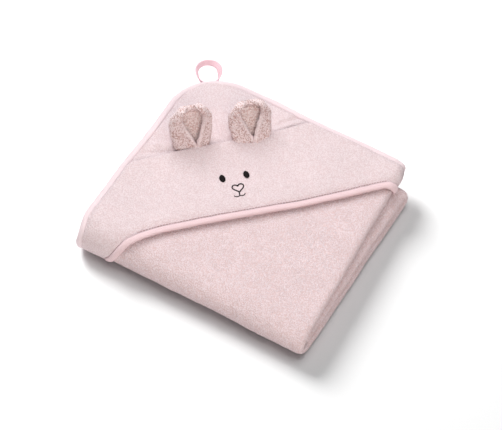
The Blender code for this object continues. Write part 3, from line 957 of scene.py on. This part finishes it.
def ear_place(joint, levels, shares, behind, tall):
    """World points of an ear's levels: its back starts behind the seam and its top cups forward."""
    along_axis = -math.cos(EAR_TILT) * TO_HEM + math.sin(EAR_TILT) * UP
    forward_axis = math.sin(EAR_TILT) * TO_HEM + math.cos(EAR_TILT) * UP
    share = shares[:, None]
    forward = levels[..., 1] - behind * (1 - share) + 4 * MM * smooth_share(share, 0.55, 1.0)
    sunk = EAR_FOLD + forward / math.tan(EAR_TILT)
    height = share * tall - sunk * (1 - share) ** 3
    points = (
        np.array(JOINTS[joint]["pos_m"])
        + levels[..., :1] * ALONG_HEM
        + height[..., None] * along_axis
        + forward[..., None] * forward_axis
    )
    return settle_ear(points), height


def ear(side, apex, flap_end, behind, tall):
    """An ear: its sheet of curly terry with both sides folded in, and the lining inside it."""
    joint = f"ear_{side}_tilt"
    shares = EAR_LAST * np.sin(np.linspace(0, 1, 58) * math.pi / 2) ** 1.1
    levels, length = ear_levels(shares, apex, flap_end, 0.0)
    middle, height = ear_place(joint, levels, shares, behind, tall)
    edge = np.minimum(length, length[:, -1:] - length)
    near = np.minimum(edge, (tall * (shares[-1] - shares))[:, None])
    half = 1.7 * MM + 1.5 * MM * np.exp(-(((near - 2.8 * MM) / (2.8 * MM)) ** 2))
    outer = sheet_about(
        f"ear_{side}_cloth", middle, half * half_round(near / (3.0 * MM)),
        np.stack([length, height], -1), "curly_cotton_terry",
    )
    # Painted highlight along the ear's free edges, below its top: the rim attribute hides the gaps'
    # painted shade there.
    below_top = 1 - smooth_share(shares, 0.62, 0.85)
    rolled = 0.8 * np.exp(-((edge / (3.0 * MM)) ** 2)) * below_top[:, None]
    rim = np.concatenate([rolled.ravel(), rolled[1:-1, 1:-1].ravel()]).astype(np.float32)
    outer.data.attributes.new("rim", "FLOAT", "POINT").data.foreach_set("value", rim)
    raise_pile(outer, EAR_PILE)
    placed(outer, f"ear_{side}", "terry_dusty", f"ear_{side}_outer")

    lining_shares = np.linspace(0.02, 0.84, LINING_ROWS)
    close = np.sqrt(np.clip(1 - np.clip((lining_shares - 0.4) / 0.45, 0, 1) ** 2.2, 0.0, 1))
    side_to_side = np.linspace(-1, 1, LINING_ROWS)[None, :]
    spread = 0.5 + 0.49 * side_to_side * close[:, None]
    levels, lining_length = ear_levels(lining_shares, apex, flap_end, 2.4 * MM, spread)
    middle, height = ear_place(joint, levels, lining_shares, behind, tall)
    half = 1.1 * MM * np.sqrt(1 - side_to_side**6) * np.ones((LINING_ROWS, 1))
    lining = sheet_about(
        f"ear_{side}_lining_cloth", middle, half, np.stack([lining_length, height], -1),
        "lining_cotton_terry",
    )
    raise_pile(lining, LINING_PILE)
    placed(lining, f"ear_{side}", "lining_pink", f"ear_{side}_lining")


def settle_ear(points):
    """Leans the ear's sides about a little, so that they aren't exactly straight."""
    flat = points.reshape(-1, 3)
    moved = flat.copy()
    for axis, seed in ((0, 21), (1, 22), (2, 23)):
        moved[:, axis] += 0.9 * MM * value_noise(flat, 19 * MM, seed)
    return moved.reshape(points.shape)


# ---- embroidery ----


def hood_point(p, q, lift):
    """World points on the hood's face panel, p along the hem and q from the corner."""
    size = sizes()
    folded = Folded()
    p, q = np.asarray(p, float), np.asarray(q, float)
    s, t = (q + p) * DIAGONAL, (q - p) * DIAGONAL
    surface = size.cloth / 2 + size.panel + 0.5 * MM + 2.2 * MM
    return settle(folded.place(s, t, surface + lift))


def stitch(start, end, width, height):
    """Points and faces of one stitch: thread that rises from the cloth and dives back."""
    sides, steps = 8, 9
    share = np.linspace(0, 1, steps)
    arch = np.sin(share * math.pi) ** 0.5
    centre = start + (end - start) * share[:, None] + UP * (height * (arch - 0.6))[:, None]
    along = (end - start) / np.linalg.norm(end - start)
    side = np.cross(UP, along)
    angles = np.linspace(0, 2 * math.pi, sides, endpoint=False)
    thick = width / 2 * (0.35 + 0.65 * np.sin(np.clip(share, 0.02, 0.98) * math.pi) ** 0.35)
    thick[0] = thick[-1] = 0.02 * width
    ring = np.cos(angles)[:, None] * side + np.sin(angles)[:, None] * UP * 0.8
    points = centre[:, None] + thick[:, None, None] * ring[None]
    index = np.arange(steps * sides).reshape(steps, sides)
    following = np.roll(index, -1, axis=1)
    faces = np.stack([index[:-1], index[1:], following[1:], following[:-1]], -1).reshape(-1, 4)
    return points.reshape(-1, 3), faces


def stitches(name, pairs, width, height, finish, slot, *nodes):
    """One piece made of many stitches, each from a start to an end."""
    points, faces, count = [], [], 0
    for start, end in pairs:
        new_points, new_faces = stitch(start, end, width, height)
        points.append(new_points)
        faces.append(new_faces + count)
        count += len(new_points)
    points, faces = np.concatenate(points), np.concatenate(faces)
    obj = mesh_object(name, points, faces, points[:, :2], finish)
    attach(obj, "top_fold")
    if nodes:
        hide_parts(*nodes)
    return obj


# Finish and slot of the face's stitches.
BLACK = "embroidery_thread", "black_thread"
EYE_ROWS = 12
# The sewing beside the hem tape: how low it lies in the pile, and how far it is from the tape.
SEWING_HEIGHT = -1.7 * MM
SEWING_INSET = 2.4 * MM


def line_stitches(line, pitch, overlap):
    """Stitch ends along a line of (p, q) places."""
    line = np.asarray(line, float)
    length = np.concatenate([[0], np.cumsum(np.linalg.norm(np.diff(line, axis=0), axis=1))])
    count = max(1, int(round(length[-1] / pitch)))
    ends = np.linspace(0, length[-1], count + 1)
    pairs = []
    for low, high in zip(ends[:-1], ends[1:]):
        spots = [low - overlap, high + overlap]
        p = np.interp(spots, length, line[:, 0])
        q = np.interp(spots, length, line[:, 1])
        pairs.append(tuple(hood_point(p, q, 0.25 * MM)))
    return pairs


def node_centre(node):
    """(p, q) of a node's middle on the hood."""
    low, high = hood_span(node)
    return float(low[0] + high[0]) / 2, float(low[1] + high[1]) / 2


def eye(side, lean, across, down):
    """An oval of satin stitches side by side, leaning by a few degrees."""
    p, q = node_centre(f"eye_{side}")
    p, q = p + across * MM, q + down * MM
    cosine, sine = math.cos(math.radians(lean)), math.sin(math.radians(lean))
    pairs = []
    for row in range(EYE_ROWS):
        place = (row + 0.5) / EYE_ROWS * 2 - 1
        half = 5.2 * MM * place
        width = 3.8 * MM * math.sqrt(1 - place**2)
        ends_p = np.array([-width, width])
        ends_q = np.array([half, half + 0.25 * MM])
        turned_p = p + ends_p * cosine - ends_q * sine
        turned_q = q + ends_p * sine + ends_q * cosine
        pairs.append(tuple(hood_point(turned_p, turned_q, 0.35 * MM)))
    stitches(f"eye_{side}_satin_stitch", pairs, 0.95 * MM, 0.5 * MM, *BLACK, f"eye_{side}")


def embroidery():
    """The face: two eyes, the outline of a heart for a nose, a short line and a mouth."""
    thread = sizes().thread
    eye("left", 2, 0.6, 1.4)
    eye("right", 0, 1.4, 3.0)
    p, q = node_centre("nose")
    p, q = p + MM, q + 2.6 * MM
    steps = np.linspace(0, 2 * math.pi, 49)
    width, length = 6.9 * MM, 11.4 * MM
    side = np.sin(steps) ** 3 * width
    lobes = 13 * np.cos(steps) - 5 * np.cos(2 * steps) - 2 * np.cos(3 * steps) - np.cos(4 * steps)
    heart = np.stack([p + side, q + length * ((0.72 - lobes / 16) / 1.78 - 0.5)], -1)
    pairs = line_stitches(heart, 1.9 * MM, 0.35 * MM)
    stitches("nose_stitches", pairs, thread, 0.35 * MM, *BLACK, "nose")
    p, q = node_centre("lip_line")
    pairs = line_stitches([(p + 0.4 * MM, q - 3.0 * MM), (p, q + 2.4 * MM)], 1.9 * MM, 0.3 * MM)
    stitches("lip_stitches", pairs, thread, 0.35 * MM, *BLACK, "lip_line")
    p, q = node_centre("mouth")
    bow = np.linspace(-1, 1, 25)
    dip = 1.6 * MM * np.sin(np.abs(bow) * math.pi) - 0.4 * MM
    mouth = np.stack([p + bow * 6.8 * MM, q - MM + dip - 1.2 * MM * bow**2], -1)
    pairs = line_stitches(mouth, 2.0 * MM, 0.15 * MM)
    stitches("mouth_stitches", pairs, thread * 0.75, 0.3 * MM, *BLACK, "mouth")


def topstitch():
    """The row of sewing that joins the hem tape to the face panel."""
    places = np.arange(-128 * MM, 168 * MM, 3.3 * MM)
    inset = sizes().hem + SEWING_INSET
    starts, ends = (
        hood_point(along, hem_line(along) - inset, SEWING_HEIGHT)
        for along in (places, places + 2.7 * MM)
    )
    finish, slot = "polyester_sewing_thread", "woven_tape"
    stitches("hem_topstitch", list(zip(starts, ends)), 0.6 * MM, 0.3 * MM, finish, slot)


# ---- hanging loop ----


# The loop's near end lies lower than its far one, under the rim, and its far side leans out most.
LOOP_DROP = 8 * MM
LOOP_SHIFT = 2 * MM
LOOP_LEAN, LOOP_FAR_LEAN = 30, 24
TAB_LENGTH = 7 * MM


def hanging_loop():
    """The loop of tape, and its two ends stitched to the hooded corner."""
    size = sizes()
    hinge = np.array(JOINTS["loop_swing"]["pos_m"])
    radius = size.loop / 2
    half = size.loop_tape / 2
    rows, columns = 90, 9
    mouth = math.asin(2.6 * MM / radius)
    turn = np.linspace(mouth, 2 * math.pi - mouth, rows)
    g = np.linspace(-1, 1, columns)
    reach = radius * (math.cos(mouth) - np.cos(turn))
    side = radius * np.sin(turn) * 1.03 + LOOP_SHIFT
    low = LOOP_DROP * (1 - smooth_share(reach, 0, 1.3 * radius))
    centre = hinge - UP * low[:, None] - reach[:, None] * TO_HEM + side[:, None] * ALONG_HEM
    flare = np.radians(LOOP_LEAN + LOOP_FAR_LEAN * np.clip(np.sin(turn), 0, 1))
    flare = flare * smooth_share(reach, 0, radius)
    away = np.cos(turn)[:, None] * TO_HEM + np.sin(turn)[:, None] * ALONG_HEM
    lean = away * np.sin(flare)[:, None] + UP * np.cos(flare)[:, None]
    band = centre[:, None] + g[None, :, None] * half * lean[:, None]
    flat = np.stack(np.meshgrid(turn * radius, g * half, indexing="ij"), -1)
    thick = 0.8 * MM * np.ones((rows, columns))
    loop = sheet_about("loop_tape", band, thick, flat, "woven_loop_tape")
    placed(loop, "loop", "woven_tape", "hanging_loop")

    inwards = np.linspace(0, 1, 8) * TAB_LENGTH
    tab_centre = hinge - UP * 6 * MM + TO_HEM * inwards[:, None]
    tab = tab_centre[:, None] + g[None, :, None] * half * UP * 0.7
    flat = np.stack(np.meshgrid(inwards, g * half, indexing="ij"), -1)
    thick = 1.3 * MM * np.ones((len(inwards), columns))
    ends = sheet_about("loop_stitched_ends", tab, thick, flat, "woven_loop_tape")
    placed(ends, "top_fold", "woven_tape", "hanging_loop_tab")


# ---- stage ----


def studio():
    """A plain paper floor, dim even light all round and four round softboxes."""
    bpy.ops.mesh.primitive_plane_add(size=6, location=(0, 0, 0))
    floor = bpy.context.object
    floor.name = "studio_floor"
    # Rolled paper: matt and almost even, with a barely visible grain.
    made, tree, shader = new_material("studio_paper", 0.9, 0.0, (1, 1, 1), 0.1)
    place = add_node(tree, "ShaderNodeTexCoord").outputs["Object"]
    grain = add_node(tree, "ShaderNodeTexNoise", {"Scale": 300.0}, {"Vector": place})
    tone = add_node(
        tree, "ShaderNodeMapRange", {"To Min": 0.985, "To Max": 1.0}, {"Value": grain.outputs["Fac"]}
    )
    toned = add_node(
        tree, "ShaderNodeVectorMath", {"operation": "SCALE", 0: tuple(colors().floor)},
        {"Scale": tone.outputs["Result"]},
    )
    tree.links.new(toned.outputs[0], shader.inputs["Base Color"])
    floor.data.materials.append(made)

    world = bpy.data.worlds.new("studio_light")
    world.use_nodes = True
    background = world.node_tree.nodes["Background"].inputs
    background["Color"].default_value = (1, 1, 1, 1)
    background["Strength"].default_value = 0.15
    bpy.context.scene.world = world
    cloth = [obj for obj in bpy.data.objects if obj.type == "MESH" and obj != floor]
    softbox("floor_softbox", (-1.35, 0.62, 1.16), 1.0, 52, [floor])
    softbox("back_softbox", (-0.93, 0.75, 1.52), 1.5, 31.5, cloth)
    softbox("front_softbox", (1.0, -1.3, 1.2), 1.6, 20.5, cloth, (1.0, 0.885, 0.8))
    softbox("top_softbox", (0.25, 0.1, 2.2), 1.8, 18, [floor, *cloth])
    bpy.context.scene.view_settings.view_transform = "Standard"


def softbox(name, place, size, watts, lit, color=(1, 1, 1)):
    """A round soft light that aims at the towel and lights only the given objects."""
    light = bpy.data.lights.new(name, "AREA")
    light.shape = "DISK"
    light.size = size
    light.energy = watts
    light.color = color
    obj = bpy.data.objects.new(name, light)
    obj.location = place
    obj.rotation_euler = (-Vector(place)).to_track_quat("-Z", "Y").to_euler()
    bpy.context.scene.collection.objects.link(obj)
    receivers = bpy.data.collections.new(name + "_lights")
    for piece in lit:
        receivers.objects.link(piece)
    obj.light_linking.receiver_collection = receivers


def camera():
    """Looks at the folded towel from its front, a little to the right and well above."""
    azimuth, elevation, roll = (math.radians(angle) for angle in (24.34, 52.51, 6.2))
    distance = 3.0
    back = Vector((
        math.sin(azimuth) * math.cos(elevation),
        -math.cos(azimuth) * math.cos(elevation),
        math.sin(elevation),
    ))
    right = Vector((math.cos(azimuth), math.sin(azimuth), 0))
    up = back.cross(right)
    turned_right = right * math.cos(roll) + up * math.sin(roll)
    turned_up = up * math.cos(roll) - right * math.sin(roll)
    data = bpy.data.cameras.new("camera")
    data.lens = 194.8
    data.sensor_width = 36
    data.shift_x = 0.0055
    data.shift_y = -0.0075
    obj = bpy.data.objects.new("camera", data)
    turn = Matrix((turned_right, turned_up, back)).transposed().to_4x4()
    obj.matrix_world = Matrix.Translation(Vector((0, 0, STACK / 2)) + back * distance) @ turn
    bpy.context.scene.collection.objects.link(obj)
    bpy.context.scene.camera = obj


# ---- operators ----


class TOWEL_OT_fold_towel(Operator):
    """Fold the terry towel in thirds both ways"""

    bl_idname = "towel.fold_towel"
    bl_label = "Fold towel"

    def execute(self, context):
        folded_towel()
        return {"FINISHED"}


class TOWEL_OT_hood(Operator):
    """Lay the hood's crown, face and hem on the top fold"""

    bl_idname = "towel.hood"
    bl_label = "Hood panels"

    def execute(self, context):
        hood_panels()
        return {"FINISHED"}


class TOWEL_OT_binding(Operator):
    """Bind the towel's edge with tape"""

    bl_idname = "towel.binding"
    bl_label = "Edge binding"

    def execute(self, context):
        edge_binding()
        return {"FINISHED"}


class TOWEL_OT_ears(Operator):
    """Make both ears with their linings"""

    bl_idname = "towel.ears"
    bl_label = "Ears"

    def execute(self, context):
        ear("left", 4.3 * MM, (0.82, 0.82), 12 * MM, sizes().ear_length)
        ear("right", 1.0 * MM, (0.80, 0.86), 5 * MM, 0.88 * sizes().ear_length)
        return {"FINISHED"}


class TOWEL_OT_embroidery(Operator):
    """Stitch the eyes, nose and mouth"""

    bl_idname = "towel.embroidery"
    bl_label = "Embroidery"

    def execute(self, context):
        embroidery()
        topstitch()
        return {"FINISHED"}


class TOWEL_OT_loop(Operator):
    """Make the hanging loop and its stitched ends"""

    bl_idname = "towel.loop"
    bl_label = "Hanging loop"

    def execute(self, context):
        hanging_loop()
        return {"FINISHED"}


class TOWEL_OT_studio(Operator):
    """Set up the floor, soft light and camera"""

    bl_idname = "towel.studio"
    bl_label = "Studio"

    def execute(self, context):
        studio()
        camera()
        return {"FINISHED"}


OPERATORS = (
    TOWEL_OT_fold_towel,
    TOWEL_OT_hood,
    TOWEL_OT_binding,
    TOWEL_OT_ears,
    TOWEL_OT_embroidery,
    TOWEL_OT_loop,
    TOWEL_OT_studio,
)


class TOWEL_PT_panel(Panel):
    """Lists the towel's operators, sizes and colours"""

    bl_idname = "TOWEL_PT_panel"
    bl_label = "Hooded Towel"
    bl_space_type = "VIEW_3D"
    bl_region_type = "UI"
    bl_category = "Towel"

    def draw(self, context):
        for made in OPERATORS:
            self.layout.operator(made.bl_idname)
        for group in (context.scene.towel_sizes, context.scene.towel_colors):
            for name in group.__annotations__:
                self.layout.prop(group, name)


CLASSES = (TowelSizes, TowelColors, *OPERATORS, TOWEL_PT_panel)


def register():
    for made in CLASSES:
        bpy.utils.register_class(made)
    bpy.types.Scene.towel_sizes = PointerProperty(type=TowelSizes)
    bpy.types.Scene.towel_colors = PointerProperty(type=TowelColors)


def unregister():
    del bpy.types.Scene.towel_colors
    del bpy.types.Scene.towel_sizes
    for made in reversed(CLASSES):
        bpy.utils.unregister_class(made)


def main():
    """Makes every piece."""
    register()
    bpy.ops.object.select_all(action="DESELECT")
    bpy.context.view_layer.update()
    bpy.ops.towel.fold_towel()
    bpy.ops.towel.hood()
    bpy.ops.towel.binding()
    bpy.ops.towel.ears()
    bpy.ops.towel.embroidery()
    bpy.ops.towel.loop()
    bpy.ops.towel.studio()


if __name__ == "__main__":
    main()
